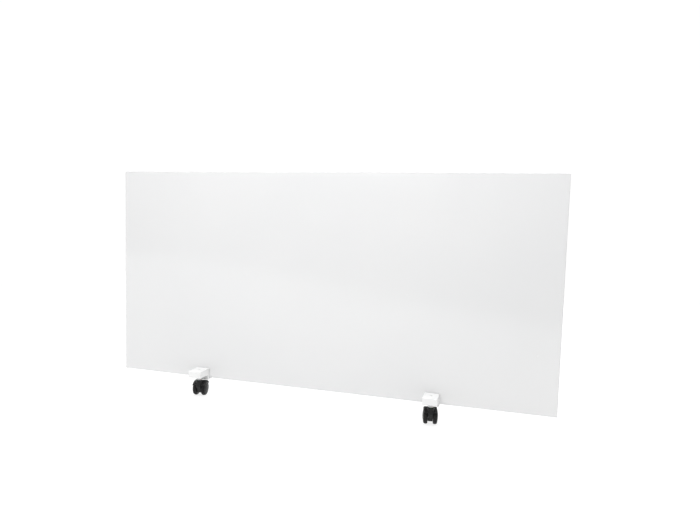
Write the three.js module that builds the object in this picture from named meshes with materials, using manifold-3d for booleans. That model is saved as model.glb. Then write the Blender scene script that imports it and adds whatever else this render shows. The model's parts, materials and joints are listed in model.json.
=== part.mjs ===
// Desk privacy panel: a white laminated board held by two edge clamps, each clamp carrying
// a swivelling twin-wheel caster on a threaded stem. Millimetres, +Z up, +X along the board,
// +Y from the room side (clamp arms) to the desk side (clamp screws). z = 0 is the floor.
import * as THREE from 'three';
import { mergeVertices } from 'three/addons/utils/BufferGeometryUtils.js';
import Module from 'manifold-3d';

const wasm = await Module();
wasm.setup();

// ---------------------------------------------------------------- driving dimensions
const PANEL_W = 1200;          // board length along X
const PANEL_H = 574;           // board height along Z
const PANEL_T = 12;            // board thickness along Y
const SKIN_T = 0.8;            // facing sheet thickness
const BAND_T = 1.0;            // edge band thickness
const GLUE = 0.1;              // glue line between bonded sheets
const EDGE_Z = 49;             // height of the board's bottom edge above the floor

const LEFT_X = -343;           // centre of the left clamp
const RIGHT_X = 303.5;         // centre of the right clamp

const ARM_W = 37;              // clamp width along X
const ARM_D = 47;              // front of the arm to the board's front face
const ARM_TOP = 26.3;          // arm top above the board's bottom edge
const ARM_BOT = 8;             // arm underside above the board's bottom edge
const LEG_T = 5.2;             // front leg thickness
const LIP_TOP = -1.2;          // top of the lip under the board
const LIP_BOT = -5.7;          // underside of the lip
const JAW_Y0 = 17;             // inside of the rear jaw
const JAW_Y1 = 25;             // outside of the rear jaw
const PAD_T = 0.8;             // silicone pad thickness
const PLATE_T = 2.0;           // pressure plate thickness
const SCREW_R = 2.5;           // M5 clamp screw
const SCREW_DX = 9;            // clamp screws either side of the clamp centre
const SCREW_Z = 12;            // clamp screw height above the board's bottom edge

const STEM_Y = -22;            // stem axis in front of the board's front face
const STEM_R = 4;              // M8 thread
const SPIGOT_R = 3;            // plain spigot that the caster turns on
const TRAIL = 12;              // axle behind the stem axis
const REST_TURN = 10;          // degrees that each caster stands turned about its stem at rest
const WHEEL_R = 20;            // wheel radius over the tread
const RIM_R = 17.6;            // outside of the wheel centre
const WHEEL_X0 = 6.8;          // wheel inner face from the caster's mid plane
const WHEEL_X1 = 18.0;         // wheel outer face at the hub from the caster's mid plane
const RIM_X = 16.4;            // wheel outer face at the rim from the caster's mid plane
const CAP_X = 19.3;            // crown of the hub cap from the caster's mid plane
const WEB_X = 6.0;             // half thickness of the caster's web
const HOOD_R0 = 21;            // inside of the hood
const HOOD_R1 = 22.5;          // outside of the hood
const HOOD_X = 17.4;           // half width of the hood
const BOSS_R = 9.5;            // stem boss of the caster body
const AXLE_R = 2.5;            // axle pin radius
const RUN = 0.08;              // running clearance, radial

const AXLE_Y = STEM_Y + TRAIL;
const AXLE_Z = WHEEL_R - EDGE_Z;           // from the board's bottom edge
const AXLE_END = WHEEL_X1 - 1.6;           // half length of the axle pin
const SCREW_END = JAW_Y1 + 2.3;
const Y_SHIFT = -(-ARM_D + SCREW_END) / 2; // puts the assembly's middle at y = 0

// ---------------------------------------------------------------- helpers
const clean = (g) => {
  const c = g.index ? g.toNonIndexed() : g.clone();
  c.deleteAttribute('normal');
  c.deleteAttribute('uv');
  return mergeVertices(c, 1e-4);
};
const solid = (g) => {
  const c = clean(g);
  return new wasm.Manifold(new wasm.Mesh({
    numProp: 3,
    vertProperties: new Float32Array(c.attributes.position.array),
    triVerts: new Uint32Array(c.index.array),
  }));
};
const geometry = (m) => {
  const r = m.getMesh();
  const g = new THREE.BufferGeometry();
  const p = new Float32Array((r.vertProperties.length / r.numProp) * 3);
  for (let i = 0; i < p.length / 3; i++) {
    for (let k = 0; k < 3; k++) p[3 * i + k] = r.vertProperties[i * r.numProp + k];
  }
  g.setAttribute('position', new THREE.BufferAttribute(p, 3));
  g.setIndex(new THREE.BufferAttribute(new Uint32Array(r.triVerts), 1));
  g.computeVertexNormals();
  return g;
};
// Box between two corners.
const box = (x0, x1, y0, y1, z0, z1) =>
  new THREE.BoxGeometry(x1 - x0, y1 - y0, z1 - z0)
    .translate((x0 + x1) / 2, (y0 + y1) / 2, (z0 + z1) / 2);
// Turned body about Z: profile of [radius, z] pairs, closed on itself or on the axis.
const turned = (profile, seg = 32) => {
  const pts = profile.map(([r, z]) => new THREE.Vector2(r, z));
  let area = 0;
  for (let i = 0; i < pts.length; i++) {
    const a = pts[i], b = pts[(i + 1) % pts.length];
    area += a.x * b.y - b.x * a.y;
  }
  if (area < 0) pts.reverse();
  const onAxis = pts.some((p) => p.x === 0);
  if (!onAxis) pts.push(pts[0].clone());
  else {
    // start the open profile on the axis
    while (!(pts[0].x === 0 && pts[pts.length - 1].x === 0)) pts.push(pts.shift());
  }
  return new THREE.LatheGeometry(pts, seg).rotateX(Math.PI / 2);
};
const alongX = (g) => g.rotateY(Math.PI / 2);
const alongY = (g) => g.rotateX(-Math.PI / 2);
// Plate of a [y, z] outline, from x0 to x1.
const sideShape = (outline, x0, x1) => {
  const s = new THREE.Shape(outline.map(([y, z]) => new THREE.Vector2(y, z)));
  const g = new THREE.ExtrudeGeometry(s, { depth: x1 - x0, bevelEnabled: false });
  // shape x -> world y, shape y -> world z, depth -> world x
  g.applyMatrix4(new THREE.Matrix4().set(0, 0, 1, x0, 1, 0, 0, 0, 0, 1, 0, 0, 0, 0, 0, 1));
  return g;
};
const arc = (cy, cz, r, a0, a1, n) => {
  const out = [];
  for (let i = 0; i <= n; i++) {
    const a = ((a0 + ((a1 - a0) * i) / n) * Math.PI) / 180;
    out.push([cy + r * Math.cos(a), cz + r * Math.sin(a)]);
  }
  return out;
};
const hexPrism = (af, z0, z1) => {
  const s = new THREE.Shape();
  for (let i = 0; i < 6; i++) {
    const a = (i * Math.PI) / 3;
    const r = af / Math.sqrt(3);
    if (i) s.lineTo(r * Math.cos(a), r * Math.sin(a));
    else s.moveTo(r * Math.cos(a), r * Math.sin(a));
  }
  return new THREE.ExtrudeGeometry(s, { depth: z1 - z0, bevelEnabled: false }).translate(0, 0, z0);
};

const MAT = {
  laminate: [0xf1f2f4, 0.22, 0.0],
  band: [0xeceef0, 0.35, 0.0],
  board: [0xb9a27e, 0.9, 0.0],
  paint: [0xf6f6f5, 0.38, 0.0],
  steel: [0xb9bcc0, 0.32, 0.9],
  black_steel: [0x2c2d2f, 0.45, 0.6],
  rubber: [0xd9dad8, 0.6, 0.0],
  hood: [0x1b1c1e, 0.42, 0.0],
  wheel: [0x222326, 0.5, 0.0],
  tread: [0x17181a, 0.75, 0.0],
  bush: [0xd8d6cf, 0.5, 0.0],
};
const group = new THREE.Group();
const stand = new THREE.Group();
stand.position.set(0, Y_SHIFT, EDGE_Z);
group.add(stand);
const put = (parent, name, g, mat, x = 0, y = 0, z = 0) => {
  const [color, roughness, metalness] = MAT[mat];
  const m = new THREE.Mesh(g, new THREE.MeshStandardMaterial({ color, roughness, metalness }));
  m.name = name;
  m.position.set(x, y, z);
  parent.add(m);
  return m;
};

// ---------------------------------------------------------------- board
{
  const hx = PANEL_W / 2;
  const inX = hx - BAND_T - GLUE;
  const inZ0 = BAND_T + GLUE;
  const inZ1 = PANEL_H - BAND_T - GLUE;
  const y0 = SKIN_T + GLUE;
  const y1 = PANEL_T - SKIN_T - GLUE;
  put(stand, 'board_core', box(-inX, inX, y0, y1, inZ0, inZ1), 'board');
  put(stand, 'front_facing', box(-inX, inX, 0, SKIN_T, inZ0, inZ1), 'laminate');
  put(stand, 'rear_facing', box(-inX, inX, PANEL_T - SKIN_T, PANEL_T, inZ0, inZ1), 'laminate');
  put(stand, 'edge_band_bottom', box(-inX, inX, 0, PANEL_T, 0, BAND_T), 'band');
  put(stand, 'edge_band_top', box(-inX, inX, 0, PANEL_T, PANEL_H - BAND_T, PANEL_H), 'band');
  put(stand, 'edge_band_left', box(-hx, -hx + BAND_T, 0, PANEL_T, 0, PANEL_H), 'band');
  put(stand, 'edge_band_right', box(hx - BAND_T, hx, 0, PANEL_T, 0, PANEL_H), 'band');
}

// ---------------------------------------------------------------- one clamp with its caster
const station = (side, cx) => {
  const g = new THREE.Group();
  g.position.set(cx, 0, 0);
  stand.add(g);
  const hw = ARM_W / 2;
  const legY1 = -PAD_T - 0.2;
  const legY0 = legY1 - LEG_T;
  const r = 2.2;

  // Clamp: arm, leg, lip and rear jaw in one bent and welded profile.
  const outline = [
    [-ARM_D, ARM_BOT + r], ...arc(-ARM_D + r, ARM_BOT + r, r, 180, 270, 4).slice(1),
    [legY0 - 3, ARM_BOT], ...arc(legY0 - 3, ARM_BOT - 3, 3, 90, 0, 4).slice(1),
    [legY0, LIP_BOT + 2], ...arc(legY0 + 2, LIP_BOT + 2, 2, 180, 270, 4).slice(1),
    ...arc(JAW_Y1 - 3, LIP_BOT + 3, 3, 270, 360, 5),
    ...arc(JAW_Y1 - 2, ARM_TOP - 2, 2, 0, 90, 4),
    ...arc(JAW_Y0 + 1, ARM_TOP - 1, 1, 90, 180, 3),
    [JAW_Y0, LIP_TOP], [legY1, LIP_TOP], [legY1, ARM_TOP],
    ...arc(-ARM_D + r, ARM_TOP - r, r, 90, 180, 4),
  ];
  let clamp = solid(sideShape(outline, -hw, hw));
  const stemHole = solid(turned([[0, ARM_BOT - 1], [STEM_R + 0.1, ARM_BOT - 1], [STEM_R + 0.1, 19.5], [0, 19.5]], 32).translate(0, STEM_Y, 0));
  const lockHole = solid(turned([[0, 19], [3.1, 19], [3.1, 24.9], [3.9, 25.7], [3.9, 28], [0, 28]], 24).translate(0, STEM_Y, 0));
  clamp = clamp.subtract(stemHole).subtract(lockHole);
  for (const s of [-1, 1]) {
    clamp = clamp.subtract(solid(alongY(turned([[0, JAW_Y0 - 2], [SCREW_R + 0.1, JAW_Y0 - 2], [SCREW_R + 0.1, JAW_Y1 + 2], [0, JAW_Y1 + 2]], 24))
      .translate(s * SCREW_DX, 0, SCREW_Z)));
  }
  put(g, `${side}_clamp`, geometry(clamp), 'paint');

  // Silicone pads, pressure plate and its two clamp screws.
  put(g, `${side}_front_pad`, box(-hw + 0.3, hw - 0.3, -PAD_T - 0.1, -0.1, 1, ARM_TOP - 0.3), 'rubber');
  put(g, `${side}_seat_pad`, box(-hw + 1, hw - 1, 0, PANEL_T, LIP_TOP + 0.1, -0.1), 'rubber');
  put(g, `${side}_rear_pad`, box(-hw + 1, hw - 1, PANEL_T + 0.1, PANEL_T + 0.1 + PAD_T, 1, ARM_TOP - 1.5), 'rubber');
  const plateY = PANEL_T + 0.2 + PAD_T;
  let plate = solid(box(-hw + 1, hw - 1, plateY, plateY + PLATE_T, 0.5, ARM_TOP - 1.5));
  for (const s of [-1, 1]) {
    plate = plate.subtract(solid(alongY(turned([[0, plateY + 1.2], [1.7, plateY + 1.2], [1.7, plateY + 5], [0, plateY + 5]], 24)).translate(s * SCREW_DX, 0, SCREW_Z)));
  }
  put(g, `${side}_pressure_plate`, geometry(plate), 'steel');
  for (const [s, tag] of [[-1, 'a'], [1, 'b']]) {
    const tip = plateY + 1.3;
    let screw = solid(alongY(turned([
      [0, tip], [1.5, tip], [1.5, plateY + PLATE_T + 0.2], [SCREW_R - 0.5, plateY + PLATE_T + 0.4], [SCREW_R, plateY + PLATE_T + 1],
      [SCREW_R, SCREW_END - 0.6], [SCREW_R - 0.5, SCREW_END], [0, SCREW_END]], 16)));
    screw = screw.subtract(solid(alongY(hexPrism(2.5, SCREW_END - 3, SCREW_END + 1))));
    put(g, `${side}_clamp_screw_${tag}`, geometry(screw), 'black_steel', s * SCREW_DX, 0, SCREW_Z);
  }
  // Stem lock screw in the arm's top.
  let lock = solid(turned([[0, 19.7], [2, 19.7], [3, 20.7], [3, 24.4], [2.6, 24.8], [0, 24.8]], 16));
  lock = lock.subtract(solid(hexPrism(3, 21.8, 26)));
  put(g, `${side}_lock_screw`, geometry(lock), 'steel', 0, STEM_Y, 0);

  // Stem, washer, jam nut and retaining ring stay with the clamp.
  put(g, `${side}_stem`, turned([
    [0, 19.3], [STEM_R - 0.8, 19.3], [STEM_R, 18.5], [STEM_R, -0.6], [SPIGOT_R, -0.6], [SPIGOT_R, -17.4],
    [SPIGOT_R - 0.5, -17.4], [SPIGOT_R - 0.5, -18.8], [SPIGOT_R, -18.8], [SPIGOT_R, -20.4], [SPIGOT_R - 0.6, -21], [0, -21]], 24), 'steel', 0, STEM_Y, 0);
  put(g, `${side}_washer`, turned([[4.3, ARM_BOT - 0.1], [8, ARM_BOT - 0.1], [8, ARM_BOT - 1.7], [4.3, ARM_BOT - 1.7]], 24), 'steel', 0, STEM_Y, 0);
  let nut = solid(hexPrism(13, -0.3, ARM_BOT - 1.8));
  nut = nut.intersect(solid(turned([[0, -0.3], [6.5, -0.3], [7.6, 0.4], [7.6, ARM_BOT - 2.5], [6.5, ARM_BOT - 1.8], [0, ARM_BOT - 1.8]], 24)));
  nut = nut.subtract(solid(turned([[0, -2], [4.1, -2], [4.1, 8], [0, 8]], 24)));
  put(g, `${side}_jam_nut`, geometry(nut), 'steel', 0, STEM_Y, 0);
  put(g, `${side}_stem_ring`, turned([[2.6, -17.6], [3.9, -17.6], [3.9, -18.6], [2.6, -18.6]], 16), 'black_steel', 0, STEM_Y, 0);

  // Everything that swivels, turned about the stem axis as it stands at rest.
  const swivel = new THREE.Group();
  swivel.position.set(0, STEM_Y, 0);
  swivel.rotation.z = (REST_TURN * Math.PI) / 180;
  g.add(swivel);
  const caster = new THREE.Group();
  caster.position.set(0, -STEM_Y, 0);
  swivel.add(caster);

  // Caster body: web, hood over both wheels and stem boss.
  const ay = AXLE_Y, az = AXLE_Z;
  const web = solid(sideShape([
    ...arc(ay, az, HOOD_R1, 24, 118, 13),
    [STEM_Y - 4, -6], [STEM_Y - BOSS_R, -12],
    [STEM_Y - BOSS_R + 0.6, -20], [-24, -33], [-19.5, -40], [-17, -41.5], [-4, -41.5], [3, -38], [8, -30],
  ], -WEB_X, WEB_X));
  const fender = solid(sideShape([...arc(ay, az, HOOD_R1, 27, 150, 18), ...arc(ay, az, HOOD_R0, 150, 27, 18)], -HOOD_X, HOOD_X));
  const boss = solid(turned([[0, -2.3], [BOSS_R - 1, -2.3], [BOSS_R, -3.3], [BOSS_R, -21], [0, -21]], 28).translate(0, STEM_Y, 0));
  let body = web.add(fender).add(boss);
  for (const s of [-1, 1]) {
    const x0 = s > 0 ? WEB_X : -HOOD_X - 1;
    const x1 = s > 0 ? HOOD_X + 1 : -WEB_X;
    body = body.subtract(solid(alongX(turned([[0, x0], [HOOD_R0, x0], [HOOD_R0, x1], [0, x1]], 48)).translate(0, ay, az)));
  }
  // the hood narrows towards its top
  const over = [[-HOOD_X, -60], [HOOD_X, -60], [HOOD_X, az + 10], [HOOD_X - 0.2, az + 14.5], [HOOD_X - 0.6, az + 18.5], [HOOD_X - 1.5, az + 23],
    [-HOOD_X + 1.5, az + 23], [-HOOD_X + 0.6, az + 18.5], [-HOOD_X + 0.2, az + 14.5], [-HOOD_X, az + 10]];
  const narrow = new THREE.ExtrudeGeometry(new THREE.Shape(over.map(([x, z]) => new THREE.Vector2(x, z))), { depth: 120, bevelEnabled: false });
  narrow.applyMatrix4(new THREE.Matrix4().set(1, 0, 0, 0, 0, 0, -1, 60, 0, 1, 0, 0, 0, 0, 0, 1));
  body = body.intersect(solid(narrow));
  // stem bore, bush seat and axle hole
  body = body.subtract(solid(turned([[0, 3], [4.5, 3], [4.5, -21.6], [0, -21.6]], 24).translate(0, STEM_Y, 0)));
  body = body.subtract(solid(turned([[0, 3], [7.1, 3], [7.1, -2.35], [0, -2.35]], 24).translate(0, STEM_Y, 0)));
  body = body.subtract(solid(alongX(turned([[0, -20], [AXLE_R + 0.05, -20], [AXLE_R + 0.05, 20], [0, 20]], 24)).translate(0, ay, az)));
  put(caster, `${side}_caster_body`, geometry(body), 'hood');
  put(caster, `${side}_swivel_sleeve`, turned([
    [SPIGOT_R + RUN, -0.75], [7, -0.75], [7, -2.2], [4.4, -2.2], [4.4, -16.8], [SPIGOT_R + RUN, -16.8]], 24), 'bush', 0, STEM_Y, 0);
  put(caster, `${side}_axle`, alongX(turned([[0, -AXLE_END], [2.1, -AXLE_END], [AXLE_R, 0.4 - AXLE_END], [AXLE_R, AXLE_END - 0.4], [2.1, AXLE_END], [0, AXLE_END]], 24)), 'steel', 0, ay, az);

  // Wheels: nylon centre, soft tread and snap-in hub cap; a push-on clip keeps each on the axle.
  for (const [s, tag] of [[-1, 'a'], [1, 'b']]) {
    const flip = (p) => p.map(([rr, x]) => [rr, s * x]);
    put(caster, `${side}_wheel_${tag}`, alongX(turned(flip([
      [AXLE_R + RUN, WHEEL_X0], [RIM_R - 0.1, WHEEL_X0], [RIM_R - 0.1, RIM_X], [RIM_R - 1.2, RIM_X + 0.8],
      [14.6, WHEEL_X1 - 0.3], [12.4, WHEEL_X1], [12.4, WHEEL_X1 - 2],
      [6, WHEEL_X1 - 2], [6, WHEEL_X1 - 3.6], [AXLE_R + RUN, WHEEL_X1 - 3.6]]), 32)), 'wheel', 0, ay, az);
    put(caster, `${side}_tread_${tag}`, alongX(turned(flip([
      [RIM_R, WHEEL_X0], [WHEEL_R - 1.8, WHEEL_X0], [WHEEL_R - 0.7, WHEEL_X0 + 1], [WHEEL_R - 0.15, WHEEL_X0 + 2.2], [WHEEL_R, WHEEL_X0 + 3.2],
      [WHEEL_R, RIM_X - 4.4], [WHEEL_R - 0.3, RIM_X - 3], [WHEEL_R - 0.9, RIM_X - 1.7], [WHEEL_R - 1.8, RIM_X - 0.4], [RIM_R, RIM_X + 0.2]]), 32)), 'tread', 0, ay, az);
    put(caster, `${side}_hub_cap_${tag}`, alongX(turned(flip([
      [0, WHEEL_X1 - 1.4], [12.2, WHEEL_X1 - 1.4], [12.2, WHEEL_X1 - 0.1], [10.4, CAP_X - 0.9], [7.4, CAP_X - 0.35], [3.8, CAP_X - 0.1], [0, CAP_X]]), 24)), 'wheel', 0, ay, az);
    put(caster, `${side}_axle_clip_${tag}`, alongX(turned(flip([
      [AXLE_R + 0.05, WHEEL_X1 - 3.4], [5, WHEEL_X1 - 3.4], [5, WHEEL_X1 - 2.7], [AXLE_R + 0.05, WHEEL_X1 - 2.1]]), 16)), 'steel', 0, ay, az);
  }
};
station('left', LEFT_X);
station('right', RIGHT_X);

export default group;
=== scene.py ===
import json
import math

import bmesh
import bpy
from mathutils import Matrix, Vector


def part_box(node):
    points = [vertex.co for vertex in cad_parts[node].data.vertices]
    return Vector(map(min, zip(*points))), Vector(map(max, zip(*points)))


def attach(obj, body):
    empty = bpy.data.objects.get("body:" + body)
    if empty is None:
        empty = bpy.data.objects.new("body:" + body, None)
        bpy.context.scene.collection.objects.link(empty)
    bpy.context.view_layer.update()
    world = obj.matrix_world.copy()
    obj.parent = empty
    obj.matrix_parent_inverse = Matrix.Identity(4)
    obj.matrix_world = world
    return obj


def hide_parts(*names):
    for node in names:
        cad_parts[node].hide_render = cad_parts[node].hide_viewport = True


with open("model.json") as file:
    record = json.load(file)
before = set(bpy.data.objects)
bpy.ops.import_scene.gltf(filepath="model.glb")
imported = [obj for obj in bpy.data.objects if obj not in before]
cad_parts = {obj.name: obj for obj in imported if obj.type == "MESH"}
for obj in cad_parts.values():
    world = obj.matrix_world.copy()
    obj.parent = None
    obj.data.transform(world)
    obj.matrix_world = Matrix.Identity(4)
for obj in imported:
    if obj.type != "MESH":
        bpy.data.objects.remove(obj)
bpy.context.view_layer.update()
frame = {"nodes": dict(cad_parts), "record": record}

MM = 0.001
nodes = frame["nodes"]

# --------------------------------------------------------------------------------------
# Sizes that the pieces share with the CAD model, millimetres, around fixed points read
# from the frame: the board's front face (y), its bottom edge (z) and each clamp's middle.
# --------------------------------------------------------------------------------------
b_lo, b_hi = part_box("edge_band_left")
Y0 = b_lo[1]                       # board front face
E0 = b_lo[2]                       # board bottom edge
PANEL_T, PANEL_H = (b_hi[1] - b_lo[1]) / MM, (b_hi[2] - b_lo[2]) / MM
PANEL_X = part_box("edge_band_right")[1][0] / MM
CX = {}
for side in ("left", "right"):
    lo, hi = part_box(f"{side}_clamp")
    CX[side] = (lo[0] + hi[0]) / 2

ARM_W, ARM_D, ARM_TOP, ARM_BOT = 37.0, 47.0, 26.3, 8.0
LIP_TOP, LIP_BOT, JAW_Y0, JAW_Y1, LEG_T = -1.2, -5.7, 17.0, 25.0, 5.2
s_lo, s_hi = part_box("left_stem")
STEM_Y = ((s_lo[1] + s_hi[1]) / 2 - Y0) / MM
JOINT = {j["name"]: j for j in frame["record"]["behaviour"]["joints"]}
YAW, TRAIL, AXLE_Z = {}, 0.0, 0.0  # how far each caster stands turned about its stem
for side in ("left", "right"):
    spin, swivel = JOINT[f"{side}_wheel_a_spin"], JOINT[f"{side}_swivel"]
    YAW[side] = math.atan2(spin["axis"][1], spin["axis"][0])
    TRAIL = math.hypot(spin["pos_m"][0] - swivel["pos_m"][0], spin["pos_m"][1] - swivel["pos_m"][1]) / MM
    AXLE_Z = (spin["pos_m"][2] - E0) / MM
AXLE_Y = STEM_Y + TRAIL
WHEEL_R, RIM_R, WX0, WX1, RIM_X, CAP_X = 20.0, 17.6, 6.8, 18.0, 16.4, 19.3
WEB_X, HOOD_R0, HOOD_R1, HOOD_X, BOSS_R = 6.0, 21.0, 22.5, 17.4, 9.5


# --------------------------------------------------------------------------------------
# Mesh helpers. Local coordinates are millimetres: x from the clamp's middle, y from the
# board's front face, z from the board's bottom edge.
# --------------------------------------------------------------------------------------
def place(verts, cx):
    return [(cx + v[0] * MM, Y0 + v[1] * MM, E0 + v[2] * MM) for v in verts]


def make(name, verts, faces, cx=0.0, sharp=32.0):
    me = bpy.data.meshes.new(name)
    me.from_pydata(place(verts, cx), [], faces)
    me.validate()
    bm = bmesh.new()
    bm.from_mesh(me)
    bmesh.ops.remove_doubles(bm, verts=bm.verts, dist=1e-7)
    bmesh.ops.recalc_face_normals(bm, faces=bm.faces)
    bm.to_mesh(me)
    bm.free()
    ob = bpy.data.objects.new(name, me)
    bpy.context.scene.collection.objects.link(ob)
    smooth(ob, sharp)
    return ob


def tidy(ob, sharp=32.0):
    """Merge the slivers a cut leaves behind."""
    bm = bmesh.new()
    bm.from_mesh(ob.data)
    bmesh.ops.remove_doubles(bm, verts=bm.verts, dist=4e-6)
    bmesh.ops.dissolve_degenerate(bm, edges=bm.edges, dist=2e-6)
    bmesh.ops.holes_fill(bm, edges=[e for e in bm.edges if e.is_boundary], sides=8)
    bmesh.ops.recalc_face_normals(bm, faces=bm.faces)
    bm.to_mesh(ob.data)
    bm.free()
    smooth(ob, sharp)


def smooth(ob, sharp=32.0):
    me = ob.data
    me.shade_smooth()
    me.set_sharp_from_angle(angle=math.radians(sharp))


def rings_mesh(rings, cap0=True, cap1=True, wrap=False):
    """Closed surface through rings of equal length; a ring of one point is a pole."""
    verts, faces, start = [], [], []
    for r in rings:
        start.append(len(verts))
        verts += r
    pairs = list(zip(range(len(rings) - 1), range(1, len(rings))))
    if wrap:
        pairs.append((len(rings) - 1, 0))
    for i, j in pairs:
        a, b = rings[i], rings[j]
        n = max(len(a), len(b))
        for k in range(n):
            k2 = (k + 1) % n
            if len(a) == 1 and len(b) == 1:
                continue
            if len(a) == 1:
                faces.append((start[i], start[j] + k2, start[j] + k))
            elif len(b) == 1:
                faces.append((start[i] + k, start[i] + k2, start[j]))
            else:
                faces.append((start[i] + k, start[i] + k2, start[j] + k2, start[j] + k))
    if not wrap:
        if cap0 and len(rings[0]) > 1:
            faces.append(tuple(start[0] + k for k in range(len(rings[0]))))
        if cap1 and len(rings[-1]) > 1:
            faces.append(tuple(start[-1] + k for k in range(len(rings[-1]))))
    return verts, faces


def axis_point(axis, r, t, h, at):
    c, s = r * math.cos(t), r * math.sin(t)
    if axis == "Z":
        return (at[0] + c, at[1] + s, h + at[2])
    if axis == "X":
        return (h + at[0], at[1] + c, at[2] + s)
    return (at[0] + c, h + at[1], at[2] + s)


def turned(profile, n=96, axis="Z", at=(0, 0, 0), wrap=None, radius=None):
    """Turned surface; radius(r, h, t) may reshape each ring."""
    rings = []
    for r, h in profile:
        if r == 0:
            rings.append([axis_point(axis, 0, 0, h, at)])
        else:
            rings.append([axis_point(axis, radius(r, h, 2 * math.pi * k / n) if radius else r, 2 * math.pi * k / n, h, at)
                          for k in range(n)])
    if wrap is None:
        wrap = profile[0][0] != 0 and profile[-1][0] != 0
    return rings_mesh(rings, wrap=wrap)


def fillet(profile, r, steps=4, closed=False):
    """Rounds the inner corners of a profile of 2-D points."""
    out = []
    n = len(profile)
    for i, p in enumerate(profile):
        p = Vector(p)
        if not closed and i in (0, n - 1):
            out.append(tuple(p))
            continue
        a, b = Vector(profile[i - 1]), Vector(profile[(i + 1) % n])
        da, db = a - p, b - p
        la, lb = da.length, db.length
        if la < 1e-6 or lb < 1e-6:
            out.append(tuple(p))
            continue
        da, db = da / la, db / lb
        ang = da.angle(db)
        if ang > math.radians(172) or ang < math.radians(5):
            out.append(tuple(p))
            continue
        d = min(r / math.tan(ang / 2), 0.45 * la, 0.45 * lb)
        p0, p1 = p + da * d, p + db * d
        for k in range(steps + 1):
            t = k / steps
            out.append(tuple((1 - t) ** 2 * p0 + 2 * t * (1 - t) * p + t * t * p1))
    return out


def arc(cy, cz, r, a0, a1, n):
    return [(cy + r * math.cos(math.radians(a0 + (a1 - a0) * i / n)), cz + r * math.sin(math.radians(a0 + (a1 - a0) * i / n)))
            for i in range(n + 1)]


def side_plate(outline, x0, x1):
    """Solid of a (y, z) outline between x0 and x1."""
    n = len(outline)
    verts = [(x0, y, z) for y, z in outline] + [(x1, y, z) for y, z in outline]
    faces = [tuple(range(n)), tuple(range(2 * n - 1, n - 1, -1))]
    faces += [(k, (k + 1) % n, n + (k + 1) % n, n + k) for k in range(n)]
    return verts, faces


def soft_box(x0, x1, y0, y1, z0, z1, r, steps=4, across="XZ"):
    """A slab with rounded corners in its large plane and softened rims, as a stack of rings."""
    th = {"XZ": (y0, y1), "XY": (z0, z1), "YZ": (x0, x1)}[across]
    u0, u1 = (x0, x1) if across in ("XZ", "XY") else (y0, y1)
    v0, v1 = (z0, z1) if across in ("XZ", "YZ") else (y0, y1)
    t0, t1 = th
    rr = min(r, (t1 - t0) * 0.45)
    corner = max(r * 1.6, rr * 1.05)

    def ring(inset, t):
        pts = []
        c = max(corner - inset, 1e-3)
        for cu, cv, a0 in ((u1 - inset - c, v1 - inset - c, 0), (u0 + inset + c, v1 - inset - c, 90),
                           (u0 + inset + c, v0 + inset + c, 180), (u1 - inset - c, v0 + inset + c, 270)):
            for k in range(steps + 1):
                a = math.radians(a0 + 90 * k / steps)
                u, v = cu + c * math.cos(a), cv + c * math.sin(a)
                pts.append({"XZ": (u, t, v), "XY": (u, v, t), "YZ": (t, u, v)}[across])
        return pts

    rings = []
    for k in range(steps + 1):
        a = math.pi / 2 * k / steps
        rings.append(ring(rr * (1 - math.sin(a)), t0 + rr * (1 - math.cos(a))))
    for k in range(steps + 1):
        a = math.pi / 2 * k / steps
        rings.append(ring(rr * (1 - math.cos(a)), t1 - rr * (1 - math.sin(a))))
    return rings_mesh(rings)


def turned_with_caster(ob, side):
    """Turns a piece built straight about the stem axis, as the caster stands at rest."""
    c = Vector((CX[side], Y0 + STEM_Y * MM, 0))
    ob.data.transform(Matrix.Translation(c) @ Matrix.Rotation(YAW[side], 4, "Z") @ Matrix.Translation(-c))
    return ob


def modifier(ob, kind, **kw):
    m = ob.modifiers.new(kind.lower(), kind)
    for k, v in kw.items():
        setattr(m, k, v)
    return m


def bake_mods(ob):
    dg = bpy.context.evaluated_depsgraph_get()
    dg.update()
    me = bpy.data.meshes.new_from_object(ob.evaluated_get(dg), depsgraph=dg)
    ob.modifiers.clear()
    old = ob.data
    ob.data = me
    me.name = ob.name
    bpy.data.meshes.remove(old)
    return ob


def cut(ob, tools, op="DIFFERENCE"):
    for t in tools:
        modifier(ob, "BOOLEAN", operation=op, solver="EXACT", object=t)
        bake_mods(ob)
    for t in tools:
        me = t.data
        bpy.data.objects.remove(t)
        bpy.data.meshes.remove(me)
    return ob


def soften(ob, width, segments=3, angle=30.0, sharp=32.0):
    modifier(ob, "BEVEL", width=width * MM, segments=segments, limit_method="ANGLE", angle_limit=math.radians(angle),
             use_clamp_overlap=True, miter_outer="MITER_ARC")
    bake_mods(ob)
    smooth(ob, sharp)
    modifier(ob, "WEIGHTED_NORMAL", keep_sharp=True, weight=60)
    bake_mods(ob)
    return ob


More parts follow.
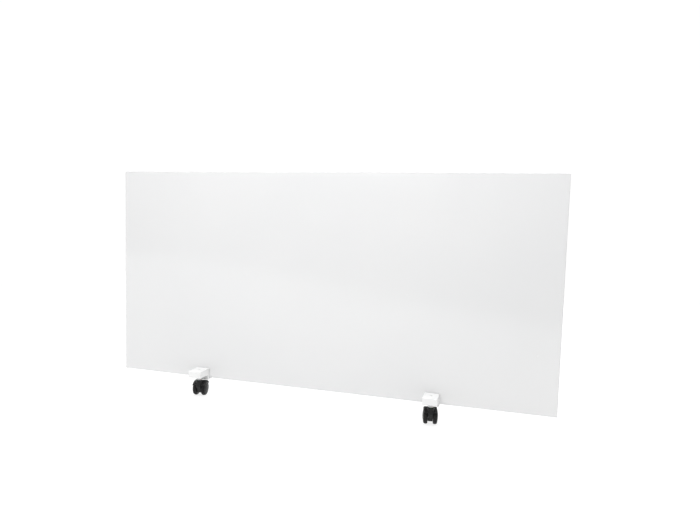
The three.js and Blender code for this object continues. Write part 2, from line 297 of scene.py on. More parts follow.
# --------------------------------------------------------------------------------------
# Materials, all procedural on object coordinates.
# --------------------------------------------------------------------------------------
class Mat:
    def __init__(self, name, **sockets):
        self.m = bpy.data.materials.new(name)
        self.m.use_nodes = True
        self.t = self.m.node_tree
        self.t.nodes.clear()
        self.out = self.t.nodes.new("ShaderNodeOutputMaterial")
        self.b = self.t.nodes.new("ShaderNodeBsdfPrincipled")
        self.t.links.new(self.b.outputs[0], self.out.inputs[0])
        for k, v in sockets.items():
            self.b.inputs[k.replace("_", " ")].default_value = v
        self.co = self.t.nodes.new("ShaderNodeTexCoord").outputs["Object"]

    def link(self, a, b):
        self.t.links.new(a, b)

    def mapping(self, scale=(1, 1, 1), rot=(0, 0, 0)):
        n = self.t.nodes.new("ShaderNodeMapping")
        n.inputs["Scale"].default_value = scale
        n.inputs["Rotation"].default_value = rot
        self.link(self.co, n.inputs["Vector"])
        return n.outputs[0]

    def noise(self, scale, detail=3.0, rough=0.55, co=None, distortion=0.0):
        n = self.t.nodes.new("ShaderNodeTexNoise")
        n.inputs["Scale"].default_value = scale
        n.inputs["Detail"].default_value = detail
        n.inputs["Roughness"].default_value = rough
        n.inputs["Distortion"].default_value = distortion
        self.link(co or self.co, n.inputs["Vector"])
        return n.outputs["Fac"]

    def voronoi(self, scale, feature="F1", co=None, out="Distance"):
        n = self.t.nodes.new("ShaderNodeTexVoronoi")
        n.feature = feature
        n.inputs["Scale"].default_value = scale
        self.link(co or self.co, n.inputs["Vector"])
        return n.outputs[out]

    def ramp(self, fac, stops):
        n = self.t.nodes.new("ShaderNodeValToRGB")
        e = n.color_ramp.elements
        while len(e) < len(stops):
            e.new(0.5)
        for el, (p, c) in zip(e, stops):
            el.position = p
            el.color = (c, c, c, 1) if isinstance(c, (int, float)) else (*c, 1)
        self.link(fac, n.inputs[0])
        return n.outputs[0]

    def span(self, fac, lo, hi, a=0.3, b=0.7):
        n = self.t.nodes.new("ShaderNodeMapRange")
        n.inputs["From Min"].default_value, n.inputs["From Max"].default_value = a, b
        n.inputs["To Min"].default_value, n.inputs["To Max"].default_value = lo, hi
        self.link(fac, n.inputs[0])
        return n.outputs[0]

    def mix(self, fac, a, b, blend="MIX"):
        n = self.t.nodes.new("ShaderNodeMix")
        n.data_type = "RGBA"
        n.blend_type = blend
        for sock, v in ((n.inputs["Factor"], fac), (n.inputs[6], a), (n.inputs[7], b)):
            if isinstance(v, (int, float)):
                sock.default_value = v
            elif isinstance(v, tuple):
                sock.default_value = (*v, 1)
            else:
                self.link(v, sock)
        return n.outputs[2]

    def math(self, op, a, b=None, clamp=False):
        n = self.t.nodes.new("ShaderNodeMath")
        n.operation = op
        n.use_clamp = clamp
        for i, v in enumerate((a, b)):
            if v is None:
                continue
            if isinstance(v, (int, float)):
                n.inputs[i].default_value = v
            else:
                self.link(v, n.inputs[i])
        return n.outputs[0]

    def edges(self, lo=0.52, hi=0.6):
        g = self.t.nodes.new("ShaderNodeNewGeometry")
        return self.span(g.outputs["Pointiness"], 0.0, 1.0, lo, hi)

    def color(self, out):
        self.link(out, self.b.inputs["Base Color"])

    def rough(self, out):
        self.link(out, self.b.inputs["Roughness"])

    def bump(self, *layers):
        """layers: (height output, strength, depth in mm); each feeds the next."""
        prev = None
        for h, strength, depth in layers:
            n = self.t.nodes.new("ShaderNodeBump")
            n.inputs["Strength"].default_value = strength
            n.inputs["Distance"].default_value = depth * MM
            self.link(h, n.inputs["Height"])
            if prev:
                self.link(prev, n.inputs["Normal"])
            prev = n.outputs[0]
        self.link(prev, self.b.inputs["Normal"])


def laminate():
    """Glossy white laminate: faint clouding, hand smudges that dull the gloss, slight orange peel."""
    m = Mat("white_laminate", IOR=1.49, Coat_Weight=0.35, Coat_Roughness=0.05)
    cloud = m.noise(2.6, 3.0, 0.5)
    fine = m.noise(90.0, 2.0, 0.5)
    smudge = m.span(m.noise(9.0, 4.0, 0.6, distortion=0.6), 0.0, 1.0, 0.54, 0.74)
    wipe = m.span(m.noise(5.0, 3.0, 0.5, m.mapping((1.0, 1.0, 4.0), (0.0, 0.5, 0.0))), 0.0, 1.0, 0.5, 0.7)
    c = m.ramp(cloud, [(0.3, (0.806, 0.809, 0.813)), (0.7, (0.832, 0.833, 0.834))])
    c = m.mix(m.span(fine, 0.0, 0.06), c, (0.77, 0.774, 0.781))
    m.color(m.mix(m.math("MULTIPLY", smudge, 0.06), c, (0.78, 0.78, 0.77)))
    r = m.math("ADD", m.span(smudge, 0.14, 0.26, 0.0, 1.0), m.span(fine, -0.01, 0.02))
    m.rough(m.math("ADD", r, m.math("MULTIPLY", wipe, 0.04)))
    peel = m.noise(520.0, 2.0, 0.5)
    wave = m.noise(14.0, 2.0, 0.5)
    m.bump((wave, 0.08, 0.25), (peel, 0.05, 0.02))
    return m.m


def band():
    m = Mat("white_edge_band", IOR=1.5)
    streak = m.noise(60.0, 3.0, 0.5, m.mapping((6.0, 1.0, 6.0)))
    cloud = m.noise(20.0, 2.0)
    m.color(m.mix(m.span(streak, 0.0, 0.3), (0.80, 0.805, 0.81), (0.74, 0.745, 0.755)))
    m.rough(m.span(cloud, 0.26, 0.42))
    m.bump((streak, 0.15, 0.02), (m.noise(900.0, 2.0), 0.1, 0.01))
    return m.m


def particle_board():
    m = Mat("particle_board", IOR=1.4)
    chips = m.voronoi(420.0, "F1", m.mapping((1.0, 1.0, 1.7)), "Color")
    edge = m.voronoi(420.0, "DISTANCE_TO_EDGE", m.mapping((1.0, 1.0, 1.7)))
    tone = m.noise(700.0, 3.0)
    c = m.mix(0.35, m.ramp(tone, [(0.3, (0.36, 0.26, 0.15)), (0.7, (0.62, 0.50, 0.34))]), chips, "SOFT_LIGHT")
    m.color(m.mix(m.span(edge, 0.5, 0.0, 0.0, 0.12), c, (0.16, 0.11, 0.06)))
    m.rough(m.span(tone, 0.75, 0.95))
    m.bump((edge, 0.5, 0.2), (tone, 0.3, 0.05))
    return m.m


def powder_coat():
    m = Mat("white_powder_coat", IOR=1.5, Coat_Weight=0.15, Coat_Roughness=0.2)
    cloud = m.noise(60.0, 3.0)
    grain = m.noise(1500.0, 2.0, 0.6)
    lump = m.voronoi(1100.0, "SMOOTH_F1")
    c = m.mix(m.span(cloud, 0.0, 1.0), (0.895, 0.896, 0.894), (0.86, 0.862, 0.862))
    c = m.mix(m.math("MULTIPLY", m.edges(0.53, 0.62), 0.25), c, (0.66, 0.665, 0.67))
    m.color(c)
    m.rough(m.math("ADD", m.span(cloud, 0.32, 0.44), m.span(grain, -0.03, 0.05)))
    m.bump((lump, 0.22, 0.035), (grain, 0.18, 0.015))
    return m.m


def zinc():
    m = Mat("zinc_plated_steel", Metallic=1.0, Anisotropic=0.25)
    cloud = m.noise(350.0, 3.0)
    line = m.noise(900.0, 2.0, 0.5, m.mapping((1.0, 1.0, 5.0)))
    c = m.mix(m.span(cloud, 0.0, 1.0), (0.63, 0.64, 0.66), (0.50, 0.51, 0.50))
    m.color(m.mix(m.math("MULTIPLY", m.edges(0.53, 0.62), 0.5), c, (0.8, 0.8, 0.8)))
    m.rough(m.math("ADD", m.span(cloud, 0.24, 0.42), m.span(line, -0.03, 0.06)))
    m.bump((line, 0.25, 0.02), (cloud, 0.1, 0.02))
    return m.m


def black_oxide():
    m = Mat("black_oxide_steel", Metallic=0.85)
    cloud = m.noise(500.0, 3.0)
    c = m.mix(m.span(cloud, 0.0, 1.0), (0.045, 0.045, 0.05), (0.085, 0.08, 0.078))
    m.color(m.mix(m.math("MULTIPLY", m.edges(0.53, 0.62), 0.6), c, (0.30, 0.30, 0.30)))
    m.rough(m.span(cloud, 0.34, 0.55))
    m.bump((m.noise(1600.0, 2.0), 0.2, 0.015))
    return m.m


def silicone():
    m = Mat("pale_silicone", IOR=1.42, Subsurface_Weight=0.15, Subsurface_Scale=0.001)
    cloud = m.noise(120.0, 3.0)
    rib = m.noise(1200.0, 2.0)
    m.color(m.mix(m.span(cloud, 0.0, 1.0), (0.78, 0.79, 0.79), (0.68, 0.69, 0.69)))
    m.rough(m.span(cloud, 0.45, 0.6))
    m.bump((rib, 0.2, 0.03))
    return m.m


def nylon(name, dark, light, r0, r1, dust=0.25, coat=0.0):
    """Moulded black nylon: fine grain, flow lines from the gate, scuffs on the edges, dust in patches."""
    m = Mat(name, IOR=1.53, Specular_IOR_Level=0.20, Coat_Weight=coat, Coat_Roughness=0.16)
    cloud = m.noise(110.0, 4.0)
    grain = m.noise(2600.0, 2.0, 0.6)
    flow = m.noise(260.0, 3.0, 0.5, m.mapping((1.0, 1.0, 3.5)), 0.4)
    scratch = m.span(m.noise(700.0, 1.0, 0.4, m.mapping((9.0, 0.8, 0.8), (0.3, 0.5, 0.2))), 0.0, 1.0, 0.66, 0.74)
    c = m.mix(m.span(cloud, 0.0, 1.0), dark, light)
    c = m.mix(m.math("MULTIPLY", scratch, 0.3), c, (0.07, 0.07, 0.07))
    c = m.mix(m.math("MULTIPLY", m.edges(0.52, 0.60), 0.3), c, (0.085, 0.085, 0.087))
    haze = m.span(m.noise(70.0, 5.0, 0.65), 0.0, dust, 0.5, 0.8)
    m.color(m.mix(haze, c, (0.13, 0.125, 0.115)))
    m.rough(m.math("ADD", m.math("ADD", m.span(flow, r0, r1), m.math("MULTIPLY", haze, 0.4)), m.span(grain, -0.03, 0.03)))
    m.bump((flow, 0.10, 0.03), (grain, 0.16, 0.012), (scratch, 0.12, 0.02))
    return m.m


def tread_rubber():
    m = Mat("black_tread", IOR=1.5, Specular_IOR_Level=0.19)
    cloud = m.noise(160.0, 4.0)
    pit = m.voronoi(1400.0, "F1")
    dust = m.span(m.noise(95.0, 5.0, 0.7), 0.0, 0.3, 0.48, 0.78)
    c = m.mix(m.span(cloud, 0.0, 1.0), (0.006, 0.006, 0.0065), (0.013, 0.013, 0.0135))
    m.color(m.mix(m.math("MULTIPLY", dust, 0.7), c, (0.12, 0.115, 0.105)))
    m.rough(m.math("ADD", m.span(cloud, 0.42, 0.58), m.math("MULTIPLY", dust, 0.5)))
    m.bump((m.span(pit, 0.0, 1.0, 0.0, 0.4), 0.15, 0.02), (cloud, 0.2, 0.03))
    return m.m


def acetal():
    m = Mat("white_acetal", IOR=1.48, Subsurface_Weight=0.1, Subsurface_Scale=0.001)
    cloud = m.noise(300.0, 3.0)
    turn = m.noise(1500.0, 2.0, 0.5, m.mapping((1.0, 1.0, 6.0)))
    m.color(m.mix(m.span(cloud, 0.0, 1.0), (0.80, 0.80, 0.785), (0.72, 0.72, 0.70)))
    m.rough(m.span(cloud, 0.32, 0.46))
    m.bump((turn, 0.2, 0.015))
    return m.m


MATS = {
    "laminate": laminate(), "band": band(), "board": particle_board(), "paint": powder_coat(), "steel": zinc(),
    "black_steel": black_oxide(), "rubber": silicone(), "bush": acetal(), "tread": tread_rubber(),
    "hood": nylon("black_nylon_hood", (0.003, 0.003, 0.0033), (0.007, 0.007, 0.0074), 0.20, 0.30, 0.05, 0.1),
    "wheel": nylon("black_nylon_wheel", (0.004, 0.004, 0.0044), (0.009, 0.009, 0.0094), 0.28, 0.42, 0.09),
}
node_slot = {s["node"]: s["material_slot"] for s in frame["record"]["subparts"]}
for name, ob in nodes.items():
    ob.data.materials.clear()
    ob.data.materials.append(MATS[node_slot[name]])


def finish_piece(ob, node, body):
    slot = node_slot[node]
    ob.data.materials.clear()
    ob.data.materials.append(MATS[slot])
    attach(ob, body)
    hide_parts(node)
    return ob


# --------------------------------------------------------------------------------------
# Board: facings with eased edges and edge bands with rounded arrises.
# --------------------------------------------------------------------------------------
ROOT = "board_and_clamps"


def local_box(node):
    lo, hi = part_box(node)
    return (lo[0] / MM, hi[0] / MM, (lo[1] - Y0) / MM, (hi[1] - Y0) / MM, (lo[2] - E0) / MM, (hi[2] - E0) / MM)


for node, name in (("front_facing", "front_sheet"), ("rear_facing", "rear_sheet")):
    v, f = soft_box(*local_box(node), 0.14, 3)
    finish_piece(make(name, v, f), node, ROOT)


def band_piece(node, name, run, outward):
    """Edge band: flat on the board side, both outer arrises rounded to 0.9 mm."""
    x0, x1, y0, y1, z0, z1 = local_box(node)
    r = 0.9
    t = (x1 - x0) if run == "Z" else (z1 - z0)
    sec = [(y0 + 0.05, 0.0), (y1 - 0.05, 0.0), (y1, 0.05)] + [(y1 - r + r * math.cos(a), t - r + r * math.sin(a))
           for a in [math.pi / 2 * k / 6 for k in range(7)]]
    sec += [(y0 + r - r * math.sin(a), t - r + r * math.cos(a)) for a in [math.pi / 2 * k / 6 for k in range(7)]] + [(y0, 0.05)]
    rings = []
    ends = (z0, z1) if run == "Z" else (x0, x1)
    steps = [(0.0, 0.25), (0.12, 0.06), (0.3, 0.0)]
    stations = [(ends[0] + d, i) for d, i in steps] + [(ends[1] - d, i) for d, i in reversed(steps)]
    cy = (y0 + y1) / 2
    for s, inset in stations:
        ring = []
        for y, u in sec:
            yy = cy + (y - cy) * (1 - 2 * inset / (y1 - y0))
            uu = u if u < t / 2 else u - inset * 0.8
            if run == "Z":
                ring.append(((x1 - uu) if outward < 0 else (x0 + uu), yy, s))
            else:
                ring.append((s, yy, (z1 - uu) if outward < 0 else (z0 + uu)))
        rings.append(ring)
    v, f = rings_mesh(rings)
    return finish_piece(make(name, v, f), node, ROOT)


band_piece("edge_band_left", "left_band", "Z", -1)
band_piece("edge_band_right", "right_band", "Z", 1)
band_piece("edge_band_bottom", "bottom_band", "X", -1)
band_piece("edge_band_top", "top_band", "X", 1)


# --------------------------------------------------------------------------------------
# Clamp and caster, built once per side.
# --------------------------------------------------------------------------------------
def drum(name, profile, axis, at, cx, n=64):
    v, f = turned(profile, n, axis, at)
    return make(name, v, f, cx)


def hex_radius(af):
    def r(t):
        a = (t + math.pi / 6) % (math.pi / 3) - math.pi / 6
        return af / 2 / math.cos(a)
    return r


def threaded_screw(name, cx, at, axis, h0, h1, r, pitch, af, socket, tip_r, tip_h, n=48):
    """Set screw with a rolled thread, a plain tip at h0 and a hexagon socket in its h1 end."""
    depth = 0.54 * pitch
    hexr = hex_radius(af)
    rings = [[axis_point(axis, 0, 0, h0, at)]]

    def circle(rr, h):
        return [axis_point(axis, rr, 2 * math.pi * k / n, h, at) for k in range(n)]

    rings += [circle(tip_r * 0.86, h0), circle(tip_r, h0 + 0.25), circle(tip_r, h0 + tip_h)]
    start, end = h0 + tip_h + 0.15, h1 - 0.35
    steps = max(8, int((end - start) / (pitch / 8)))
    for i in range(steps + 1):
        h = start + (end - start) * i / steps
        fade = min(1.0, (h - start) / (0.5 * pitch), (end - h) / (0.5 * pitch))
        ring = []
        for k in range(n):
            t = 2 * math.pi * k / n
            ph = ((h / pitch) - k / n) % 1.0
            tri = abs(2 * ph - 1)
            tri = min(1.0, max(0.0, 1.25 * tri - 0.12))
            ring.append(axis_point(axis, r - depth * tri * max(fade, 0.0) - 0.25 * (1 - max(fade, 0.0)), t, h, at))
        rings.append(ring)
    rings += [circle(r - 0.45, h1), circle(af / 2 * 1.22, h1)]
    rings.append([axis_point(axis, hexr(2 * math.pi * k / n) * 1.01, 2 * math.pi * k / n, h1 - 0.15, at) for k in range(n)])
    rings.append([axis_point(axis, hexr(2 * math.pi * k / n) * 0.98, 2 * math.pi * k / n, h1 - 0.35, at) for k in range(n)])
    rings.append([axis_point(axis, hexr(2 * math.pi * k / n) * 0.98, 2 * math.pi * k / n, h1 - socket, at) for k in range(n)])
    rings.append(circle(af * 0.3, h1 - socket - 0.2))
    rings.append([axis_point(axis, 0, 0, h1 - socket - 0.5, at)])
    v, f = rings_mesh(rings)
    return make(name, v, f, cx, sharp=38)


def clamp_body(side, cx):
    hw = ARM_W / 2
    box = local_box(f"{side}_front_pad")
    leg_y1 = box[2] - 0.1
    leg_y0 = leg_y1 - LEG_T
    r = 2.2
    outline = ([(-ARM_D, ARM_BOT + r)] + arc(-ARM_D + r, ARM_BOT + r, r, 180, 270, 8)[1:]
               + [(leg_y0 - 3, ARM_BOT)] + arc(leg_y0 - 3, ARM_BOT - 3, 3, 90, 0, 8)[1:]
               + [(leg_y0, LIP_BOT + 2)] + arc(leg_y0 + 2, LIP_BOT + 2, 2, 180, 270, 8)[1:]
               + arc(JAW_Y1 - 3, LIP_BOT + 3, 3, 270, 360, 8) + arc(JAW_Y1 - 2, ARM_TOP - 2, 2, 0, 90, 8)
               + arc(JAW_Y0 + 1, ARM_TOP - 1, 1, 90, 180, 5)
               + [(JAW_Y0, LIP_TOP), (leg_y1, LIP_TOP), (leg_y1, ARM_TOP)]
               + arc(-ARM_D + r, ARM_TOP - r, r, 90, 180, 8))
    clean = [outline[0]]
    for p in outline[1:]:
        if (Vector(p) - Vector(clean[-1])).length > 1e-4:
            clean.append(p)
    if (Vector(clean[0]) - Vector(clean[-1])).length < 1e-4:
        clean.pop()
    v, f = side_plate(clean, -hw, hw)
    ob = make(f"{side}_clamp_body", v, f, cx)
    at = (0, STEM_Y, 0)
    tools = [
        drum("t", [(0, ARM_BOT - 1), (4.1, ARM_BOT - 1), (4.1, 19.5), (0, 19.5)], "Z", at, cx),
        drum("t", [(0, 19), (3.1, 19), (3.1, 24.9), (3.9, 25.7), (3.9, 28), (0, 28)], "Z", at, cx),
    ]
    for s in (-1, 1):
        tools.append(drum("t", [(0, JAW_Y0 - 2), (2.6, JAW_Y0 - 2), (2.6, JAW_Y1 - 0.5), (3.2, JAW_Y1 + 0.1), (3.2, JAW_Y1 + 2), (0, JAW_Y1 + 2)],
                          "Y", (s * 9.0, 0, 12.0), cx))
    soften(ob, 0.7, 4, 40)
    cut(ob, tools)
    tidy(ob)
    return ob


def jam_nut(side, cx, z0, z1):
    n = 96
    hexr = hex_radius(13.0)
    at = (0, STEM_Y, 0)

    def limited(lim):
        def f(r, h, t):
            return min(hexr(t), lim)
        return f

    rings = []
    for h, lim in ((z0, 6.35), (z0 + 0.22, 6.75), (z0 + 0.5, 7.1), (z0 + 0.8, 7.35), (z0 + 1.1, 7.6),
                   (z1 - 1.1, 7.6), (z1 - 0.8, 7.35), (z1 - 0.5, 7.1), (z1 - 0.22, 6.75), (z1, 6.35)):
        rings.append([axis_point("Z", min(hexr(2 * math.pi * k / n), lim), 2 * math.pi * k / n, h, at) for k in range(n)])
    for rr, h in ((4.6, z1), (4.12, z1 - 0.5), (4.12, z0 + 0.5), (4.6, z0)):
        rings.append([axis_point("Z", rr, 2 * math.pi * k / n, h, at) for k in range(n)])
    v, f = rings_mesh(rings, wrap=True)
    return make(f"{side}_nut", v, f, cx, sharp=28)


def hood_half(z):
    """Half width of the hood at a height above the axle: it narrows towards its top."""
    pts = ((-60, HOOD_X), (10, HOOD_X), (14.5, HOOD_X - 0.2), (18.5, HOOD_X - 0.6), (23, HOOD_X - 1.5))
    for (z0, w0), (z1, w1) in zip(pts, pts[1:]):
        if z <= z1:
            return w0 + (w1 - w0) * max(0.0, z - z0) / (z1 - z0)
    return pts[-1][1]


def caster_body(side, cx):
    """Moulded body: web, two crowned hood lobes over the wheels and the stem boss, blended together."""
    ay, az = AXLE_Y, AXLE_Z
    outline = (arc(ay, az, HOOD_R1 - 1.5, 25, 118, 30)
               + [(STEM_Y - 4, -6), (STEM_Y - BOSS_R + 0.5, -12), (STEM_Y - BOSS_R + 0.8, -20), (-26.5, -28), (-24, -33), (-21.5, -37.5),
                  (-19.2, -40.4), (-16, -41.5), (-4.5, -41.5), (-0.6, -40.4), (3, -38), (8, -30)])
    v, f = side_plate(outline, -WEB_X, WEB_X)
    ob = make(f"{side}_hood", v, f, cx)

    # the section across the wheels: a lobe over each, a valley between them
    rings = []
    a0, a1, steps, nx = 27.0, 150.0, 72, 48
    for i in range(steps + 1):
        a = a0 + (a1 - a0) * i / steps
        end = min(1.0, (a - a0) / 4.0, (a1 - a) / 4.0)
        end = math.sin(math.pi / 2 * max(end, 0.0))
        hx = hood_half(HOOD_R1 * math.sin(math.radians(a))) - 0.25 * (1 - end)
        ring = []
        for k in range(nx + 1):
            x = -hx + 2 * hx * k / nx
            u = abs(x) / hx
            lobe = 0.6 * max(0.0, (u - 0.72) / 0.28) ** 2.2
            valley = 1.4 * (0.5 + 0.5 * math.cos(math.pi * min(1.0, abs(x) / 7.0)))
            ring.append((x, HOOD_R1 - lobe - valley - 0.35 * (1 - end)))
        for k in range(nx + 1):
            x = hx - 2 * hx * k / nx
            ring.append((x * 0.998, HOOD_R0 - 1.6 if abs(x) < WEB_X else HOOD_R0 - 0.2))
        rings.append([(x, ay + r * math.cos(math.radians(a)), az + r * math.sin(math.radians(a))) for x, r in ring])
    v, f = rings_mesh(rings)
    hood = make("t", v, f, cx)
    boss = drum("t", [(0, -2.3), (BOSS_R - 1.6, -2.3), (BOSS_R - 0.9, -2.6), (BOSS_R - 0.4, -3.4), (BOSS_R - 0.2, -6), (BOSS_R, -21), (0, -21)],
                "Z", (0, STEM_Y, 0), cx, 96)
    cut(ob, [hood, boss], "UNION")
    tools = []
    for s in (-1, 1):
        a, b = sorted((s * WEB_X, s * (HOOD_X + 1)))
        tools.append(drum("t", [(0, a), (HOOD_R0, a), (HOOD_R0, b), (0, b)], "X", (0, ay, az), cx, 160))
    tools.append(drum("t", [(0, 3), (4.5, 3), (4.5, -21.6), (0, -21.6)], "Z", (0, STEM_Y, 0), cx))
    tools.append(drum("t", [(0, 3), (7.1, 3), (7.1, -2.35), (0, -2.35)], "Z", (0, STEM_Y, 0), cx))
    tools.append(drum("t", [(0, -20), (2.6, -20), (2.6, 20), (0, 20)], "X", (0, ay, az), cx))
    cut(ob, tools)
    modifier(ob, "REMESH", mode="VOXEL", voxel_size=0.30 * MM, use_smooth_shade=True)
    bake_mods(ob)
    bm = bmesh.new()
    bm.from_mesh(ob.data)
    for _ in range(4):
        bmesh.ops.smooth_vert(bm, verts=bm.verts, factor=0.5, use_axis_x=True, use_axis_y=True, use_axis_z=True)
    bm.to_mesh(ob.data)
    bm.free()
    modifier(ob, "DECIMATE", ratio=0.45)
    bake_mods(ob)
    ob.data.shade_smooth()
    return turned_with_caster(ob, side)


def washer(side, cx):
    x0, x1, y0, y1, z0, z1 = local_box(f"{side}_washer")
    v, f = turned(fillet([(4.3, z0), (8.0, z0), (8.0, z1), (4.3, z1)], 0.25, 3, True), 96, "Z", (0, STEM_Y, 0), True)
    return make(f"{side}_flat_washer", v, f, cx)


def sleeve(side, cx):
    pr = fillet([(3.08, -0.75), (7.0, -0.75), (7.0, -2.2), (4.4, -2.2), (4.4, -16.8), (3.08, -16.8)], 0.35, 3, True)
    v, f = turned(pr, 96, "Z", (0, STEM_Y, 0), True)
    return turned_with_caster(make(f"{side}_stem_bush", v, f, cx), side)


def wheel_parts(side, tag, s, cx):
    at = (0, AXLE_Y, AXLE_Z)
    n = 128
    out = []
    # wheel centre: rounded shoulder that rises from the rim to the hub cap
    pr = fillet([(2.58, WX0), (6.0, WX0), (6.4, WX0 + 0.3), (RIM_R - 0.1, WX0 + 0.1), (RIM_R - 0.1, RIM_X), (RIM_R - 1.2, RIM_X + 0.8),
                 (14.6, WX1 - 0.3), (13.0, WX1 - 0.02), (12.5, WX1 - 0.1), (12.5, WX1 - 2), (6.0, WX1 - 2), (6.0, WX1 - 3.6), (2.58, WX1 - 3.6)],
                0.3, 3, True)
    v, f = turned([(r, s * x) for r, x in pr], n, "X", at, True)
    out.append((make(f"{side}_wheel_centre_{tag}", v, f, cx, 40), f"{side}_wheel_{tag}"))
    # tread: round section with a fine moulding line
    pts = [(RIM_R, WX0 + 0.05), (RIM_R + 0.5, WX0)]
    for k in range(29):
        u = k / 28
        x = WX0 + 0.1 + (RIM_X - 0.1 - WX0) * u
        lift = 1.9 * (((0.43 - u) / 0.43) ** 2.9 if u < 0.43 else ((u - 0.43) / 0.57) ** 2.6)
        line = 0.07 * math.exp(-((u - 0.43) / 0.02) ** 2)
        pts.append((WHEEL_R - lift - line, x))
    pts += [(RIM_R + 0.15, RIM_X + 0.17), (RIM_R, RIM_X + 0.18)]
    v, f = turned([(r, s * x) for r, x in pts], n, "X", at, True)
    out.append((make(f"{side}_tyre_{tag}", v, f, cx, 50), f"{side}_tread_{tag}"))
    # hub cap: dome with a turned groove and a centre dimple
    cap = [(0, CAP_X - 0.28), (1.5, CAP_X - 0.24), (2.1, CAP_X - 0.04), (2.6, CAP_X), (3.8, CAP_X - 0.1), (5.6, CAP_X - 0.24), (7.4, CAP_X - 0.38),
           (8.3, CAP_X - 0.56), (8.6, CAP_X - 0.78), (9.1, CAP_X - 0.84), (9.4, CAP_X - 0.72), (10.4, CAP_X - 0.92), (11.3, WX1 + 0.22),
           (12.0, WX1 - 0.1), (12.2, WX1 - 0.3), (12.2, WX1 - 1.3), (12.1, WX1 - 1.4), (0, WX1 - 1.4)]
    v, f = turned([(r, s * x) for r, x in cap], n, "X", at, False)
    out.append((make(f"{side}_cap_{tag}", v, f, cx, 28), f"{side}_hub_cap_{tag}"))
    return [(turned_with_caster(ob, side), node) for ob, node in out]


def pressure_plate(side, cx):
    """Plate with the two dimples that the clamp screws' tips sit in."""
    bx = local_box(f"{side}_pressure_plate")
    v, f = soft_box(*bx, 0.4, 4)
    ob = make(f"{side}_plate", v, f, 0.0)
    y0 = bx[2]
    cut(ob, [drum("t", [(0, y0 + 1.2), (1.7, y0 + 1.2), (1.7, y0 + 1.85), (1.95, y0 + 2.2), (1.95, y0 + 4), (0, y0 + 4)], "Y", (s * 9.0, 0, 12.0), cx)
             for s in (-1, 1)])
    smooth(ob, 35)
    return ob


for side in ("left", "right"):
    cx = CX[side]
    finish_piece(clamp_body(side, cx), f"{side}_clamp", ROOT)
    for pad, name in (("front_pad", "front_liner"), ("rear_pad", "rear_liner")):
        v, f = soft_box(*local_box(f"{side}_{pad}"), 0.3, 4)
        finish_piece(make(f"{side}_{name}", v, f, 0.0), f"{side}_{pad}", ROOT)
    v, f = soft_box(*local_box(f"{side}_seat_pad"), 0.3, 4, "XY")
    finish_piece(make(f"{side}_seat_liner", v, f, 0.0), f"{side}_seat_pad", ROOT)
    finish_piece(pressure_plate(side, cx), f"{side}_pressure_plate", ROOT)
    for tag, s in (("a", -1), ("b", 1)):
        bx = local_box(f"{side}_clamp_screw_{tag}")
        ob = threaded_screw(f"{side}_set_screw_{tag}", cx, (s * 9.0, 0, 12.0), "Y", bx[2], bx[3], 2.5, 0.8, 2.5, 2.5, 1.5, 1.1)
        finish_piece(ob, f"{side}_clamp_screw_{tag}", ROOT)
    bx = local_box(f"{side}_lock_screw")
    ob = threaded_screw(f"{side}_stem_lock_screw", cx, (0, STEM_Y, 0), "Z", bx[4], bx[5], 3.0, 1.0, 3.0, 2.6, 2.0, 0.7)
    finish_piece(ob, f"{side}_lock_screw", ROOT)
    finish_piece(washer(side, cx), f"{side}_washer", ROOT)
    bx = local_box(f"{side}_jam_nut")
    finish_piece(jam_nut(side, cx, bx[4], bx[5]), f"{side}_jam_nut", ROOT)
    caster = f"{side}_caster"
    finish_piece(caster_body(side, cx), f"{side}_caster_body", caster)
    finish_piece(sleeve(side, cx), f"{side}_swivel_sleeve", caster)
    for tag, s in (("a", -1), ("b", 1)):
        for ob, node in wheel_parts(side, tag, s, cx):
            finish_piece(ob, node, f"{side}_wheel_{tag}_set")

# --------------------------------------------------------------------------------------
# Floor, world, lights and camera.
# --------------------------------------------------------------------------------------
me = bpy.data.meshes.new("floor")
S = 2.7
me.from_pydata([(-S, -S, 0), (S, -S, 0), (S, S, 0), (-S, S, 0)], [], [(0, 1, 2, 3)])
floor = bpy.data.objects.new("floor", me)
bpy.context.scene.collection.objects.link(floor)
fm = Mat("pale_floor", IOR=1.4, Specular_IOR_Level=0.1, Emission_Color=(1.0, 1.0, 1.0, 1.0), Emission_Strength=0.80)
fm.color(fm.mix(fm.span(fm.noise(2.0, 2.0), 0.0, 1.0), (0.25, 0.25, 0.25), (0.26, 0.26, 0.26)))
fm.rough(fm.span(fm.noise(8.0, 2.0), 0.85, 0.95))
floor.data.materials.append(fm.m)

# Plain pale background; what lights the object is softer and dimmer in front and to the right.
world = bpy.data.worlds.new("studio")
bpy.context.scene.world = world
world.use_nodes = True
wt = world.node_tree
bg = wt.nodes["Background"]


def wnode(kind, **kw):
    n = wt.nodes.new(kind)
    for k, v in kw.items():
        setattr(n, k, v)
    return n


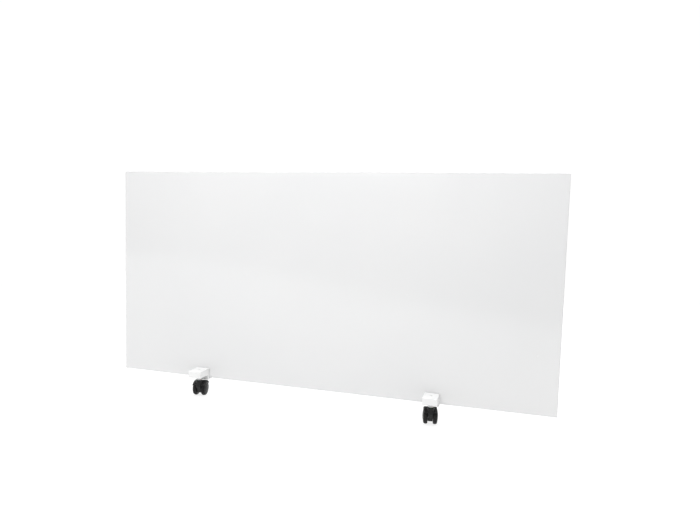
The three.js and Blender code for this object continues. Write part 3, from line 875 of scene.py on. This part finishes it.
wdir = wnode("ShaderNodeTexCoord").outputs["Generated"]
dot = wnode("ShaderNodeVectorMath", operation="DOT_PRODUCT")
wt.links.new(wdir, dot.inputs[0])
dot.inputs[1].default_value = (-0.12, 0.94, 0.30)
level = wnode("ShaderNodeMapRange", interpolation_type="SMOOTHSTEP")
for k, v in (("From Min", -0.35), ("From Max", 0.75), ("To Min", 0.30), ("To Max", 0.95)):
    level.inputs[k].default_value = v
wt.links.new(dot.outputs["Value"], level.inputs["Value"])
seen = wnode("ShaderNodeLightPath").outputs["Is Camera Ray"]
pick = wnode("ShaderNodeMix", data_type="FLOAT")
wt.links.new(seen, pick.inputs["Factor"])
wt.links.new(level.outputs["Result"], pick.inputs[2])
pick.inputs[3].default_value = 1.02
bg.inputs[0].default_value = (1.0, 1.0, 1.0, 1)
wt.links.new(pick.outputs[0], bg.inputs[1])


def area_light(name, loc, target, size, power, size_y=None, color=(1, 1, 1)):
    li = bpy.data.lights.new(name, "AREA")
    li.shape = "RECTANGLE"
    li.size = size
    li.size_y = size_y or size
    li.energy = power
    li.color = color
    ob = bpy.data.objects.new(name, li)
    ob.location = loc
    d = Vector(target) - Vector(loc)
    ob.rotation_euler = d.to_track_quat("-Z", "Y").to_euler()
    bpy.context.scene.collection.objects.link(ob)
    return ob


area_light("key", (-0.7, -2.6, 1.95), (-0.1, 0, 0.25), 0.7, 13.0)
area_light("strip", (-0.15, -0.75, 1.55), (-0.15, 0, 0.2), 1.5, 6.5, 0.5)
area_light("top", (-0.2, 0.0, 3.4), (-0.2, 0, 0), 5.4, 138.0)
area_light("glint", (-0.903, -2.06, 0.718), (-0.078, 0.01, 0.591), 0.164, 0.06, 0.137)

cam_data = bpy.data.cameras.new("camera")
cam = bpy.data.objects.new("camera", cam_data)
bpy.context.scene.collection.objects.link(cam)
cam_data.sensor_width = 36.0
cam_data.sensor_fit = "HORIZONTAL"
cam_data.lens = 28.92
cam_data.clip_start, cam_data.clip_end = 0.01, 100.0
CAM = ((0.9607304, -0.0479586, 0.2733076, 0.4750033),
       (0.2761116, 0.0674068, -0.9587589, -1.3796442),
       (0.027558, 0.9965723, 0.0780017, 0.5062948),
       (0.0, 0.0, 0.0, 1.0))
cam.matrix_world = Matrix(CAM)
bpy.context.scene.camera = cam
bpy.context.scene.view_settings.view_transform = "Standard"
bpy.context.scene.view_settings.look = "None"
